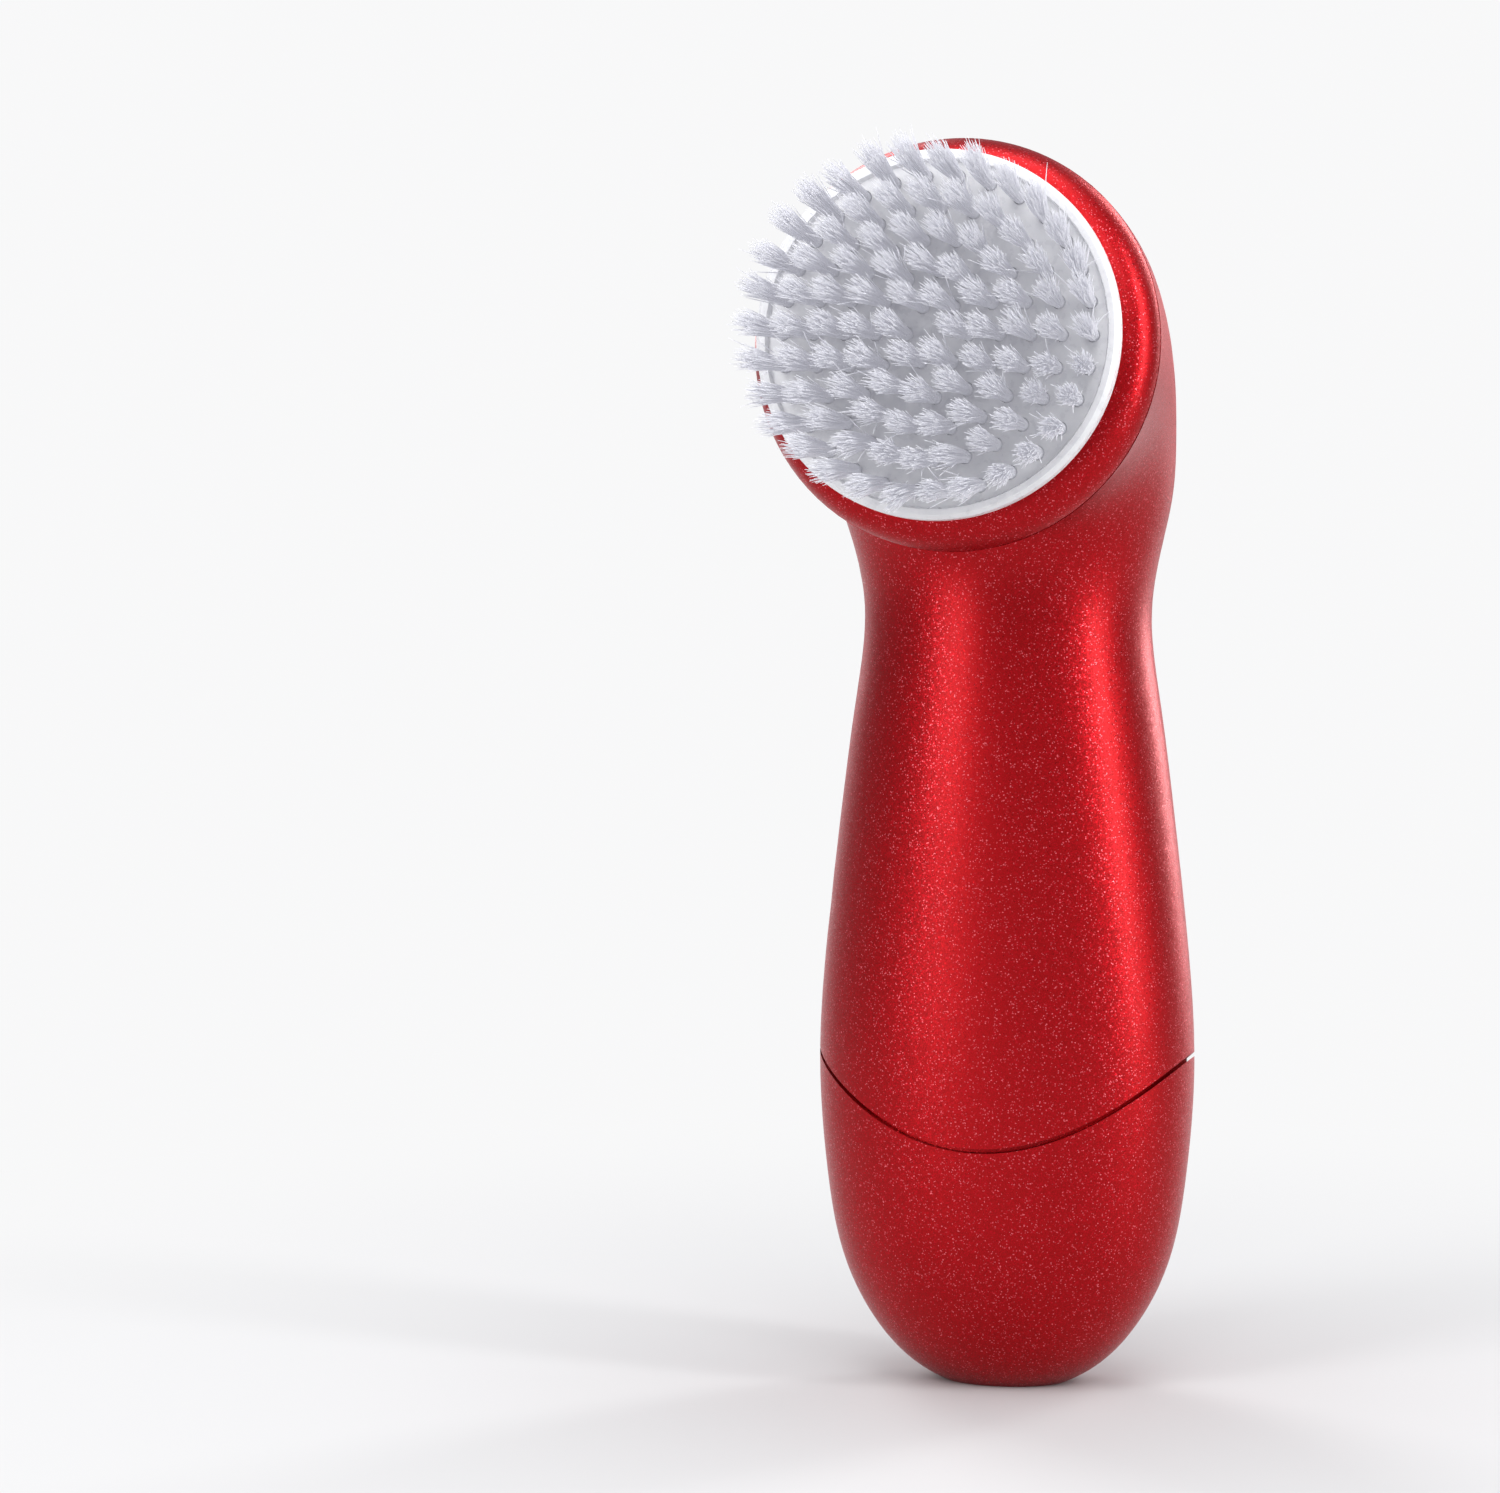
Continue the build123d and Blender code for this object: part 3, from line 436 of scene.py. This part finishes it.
def seamless_floor():
    """Pale floor that fades into the background's white away from the object."""
    steps = 96
    radii = (0.0, 0.3, 0.8, 2.0, FLOOR_R)
    points = [(0.0, 0.0, 0.0)]
    faces = []
    for radius in radii[1:]:
        for step in range(steps):
            turn = 2 * pi * step / steps
            points.append((radius * cos(turn), radius * sin(turn), 0.0))
    for step in range(steps):
        faces.append((0, 1 + step, 1 + (step + 1) % steps))
    for band in range(len(radii) - 2):
        low = 1 + band * steps
        for step in range(steps):
            after = (step + 1) % steps
            faces.append((low + step, low + steps + step, low + steps + after, low + after))
    mesh = bpy.data.meshes.new("floor")
    mesh.from_pydata(points, [], faces)
    floor = bpy.data.objects.new("floor", mesh)
    bpy.context.scene.collection.objects.link(floor)

    # the floor goes down with the cap when the cap is pulled off, so that it doesn't hide the cap
    lower = floor.constraints.new("COPY_LOCATION")
    lower.target = frame["bodies"]["cap"]
    lower.use_x = False
    lower.use_y = False

    shader = Shader("floor", 0.7)
    shader.skin.inputs["Base Color"].default_value = (0.5, 0.5, 0.503, 1)
    shader.skin.inputs["Specular IOR Level"].default_value = 0.15
    glow = shader.add("ShaderNodeEmission")
    glow.inputs["Color"].default_value = WHITE
    glow.inputs["Strength"].default_value = 1.0
    distance = shader.add("ShaderNodeVectorMath", operation="LENGTH")
    shader.link(shader.coordinates, distance.inputs[0])
    fade = shader.add("ShaderNodeMapRange", interpolation_type="SMOOTHSTEP")
    fade.inputs["From Min"].default_value = FADE_START
    fade.inputs["From Max"].default_value = FADE_END
    shader.link(distance.outputs["Value"], fade.inputs["Value"])
    seen = shader.add("ShaderNodeLightPath")
    share = shader.add("ShaderNodeMath", operation="MULTIPLY")
    shader.link(fade.outputs[0], share.inputs[0])
    shader.link(seen.outputs["Is Camera Ray"], share.inputs[1])
    mix = shader.add("ShaderNodeMixShader")
    shader.link(share.outputs[0], mix.inputs["Fac"])
    shader.link(shader.skin.outputs[0], mix.inputs[1])
    shader.link(glow.outputs[0], mix.inputs[2])
    shader.link(mix.outputs[0], shader.out.inputs[0])
    mesh.materials.append(shader.material)


def background():
    """White to the camera, a dimmer grey to everything the room lights."""
    world = bpy.data.worlds.new("room")
    world.use_nodes = True
    tree = world.node_tree
    tree.nodes.clear()
    out = tree.nodes.new("ShaderNodeOutputWorld")
    seen = tree.nodes.new("ShaderNodeLightPath")
    room = tree.nodes.new("ShaderNodeBackground")
    room.inputs["Color"].default_value = (0.9, 0.92, 1.0, 1)
    room.inputs["Strength"].default_value = ROOM_LIGHT
    white = tree.nodes.new("ShaderNodeBackground")
    white.inputs["Color"].default_value = WHITE
    mix = tree.nodes.new("ShaderNodeMixShader")
    tree.links.new(seen.outputs["Is Camera Ray"], mix.inputs[0])
    tree.links.new(room.outputs[0], mix.inputs[1])
    tree.links.new(white.outputs[0], mix.inputs[2])
    tree.links.new(mix.outputs[0], out.inputs[0])
    bpy.context.scene.world = world


def toward(azimuth, elevation):
    """Unit vector from the object, with azimuth 0 towards -Y and 90 towards +X."""
    turn, lift = radians(azimuth), radians(elevation)
    return Vector((sin(turn) * cos(lift), -cos(turn) * cos(lift), sin(lift)))


def softbox(name, azimuth, elevation, distance, wide, high, power):
    """Soft rectangular lamp, in metres and watts, that points at the object."""
    lamp = bpy.data.lights.new(name, "AREA")
    lamp.shape = "RECTANGLE"
    lamp.size = wide
    lamp.size_y = high
    lamp.energy = power
    light = bpy.data.objects.new(name, lamp)
    direction = toward(azimuth, elevation)
    light.location = LIGHTS_AIM + direction * distance
    light.rotation_mode = "QUATERNION"
    light.rotation_quaternion = (-direction).to_track_quat("-Z", "Y")
    light.visible_camera = False
    bpy.context.scene.collection.objects.link(light)


background()
seamless_floor()
softbox("key_left", -32, 20, 1.1, 0.35, 1.2, 8)
softbox("front_fill", 20, 38, 1.1, 0.7, 0.5, 4)
softbox("strip_right", 74, 10, 1.0, 0.14, 1.2, 9)
softbox("top", 10, 78, 1.1, 0.8, 0.8, 8)
softbox("back_left", -140, 25, 1.2, 0.4, 1.0, 8)
softbox("back_right", 150, 20, 1.2, 0.25, 1.0, 8)


# ---- camera -----------------------------------------------------------------------------------
CAMERA_TURN = 15.0
CAMERA_LIFT = 5.0
CAMERA_DISTANCE = 0.75
FRAME_WIDE = 0.1875              # width of the picture at the handle
AXIS_RIGHT = 0.0322              # the handle's axis stands this far right of the picture's centre
AIM_Z = 0.080

camera = bpy.data.cameras.new("camera")
camera.sensor_width = 36
camera.lens = 36 * CAMERA_DISTANCE / FRAME_WIDE
camera.clip_start = 0.01
camera.clip_end = 50
eye = bpy.data.objects.new("camera", camera)
turn = radians(CAMERA_TURN)
target = Vector((0, 0, AIM_Z)) - Vector((cos(turn), sin(turn), 0)) * AXIS_RIGHT
back = toward(CAMERA_TURN, CAMERA_LIFT)
eye.location = target + back * CAMERA_DISTANCE
eye.rotation_mode = "QUATERNION"
eye.rotation_quaternion = (-back).to_track_quat("-Z", "Y")
bpy.context.scene.collection.objects.link(eye)
bpy.context.scene.camera = eye
bpy.context.scene.view_settings.view_transform = "Standard"
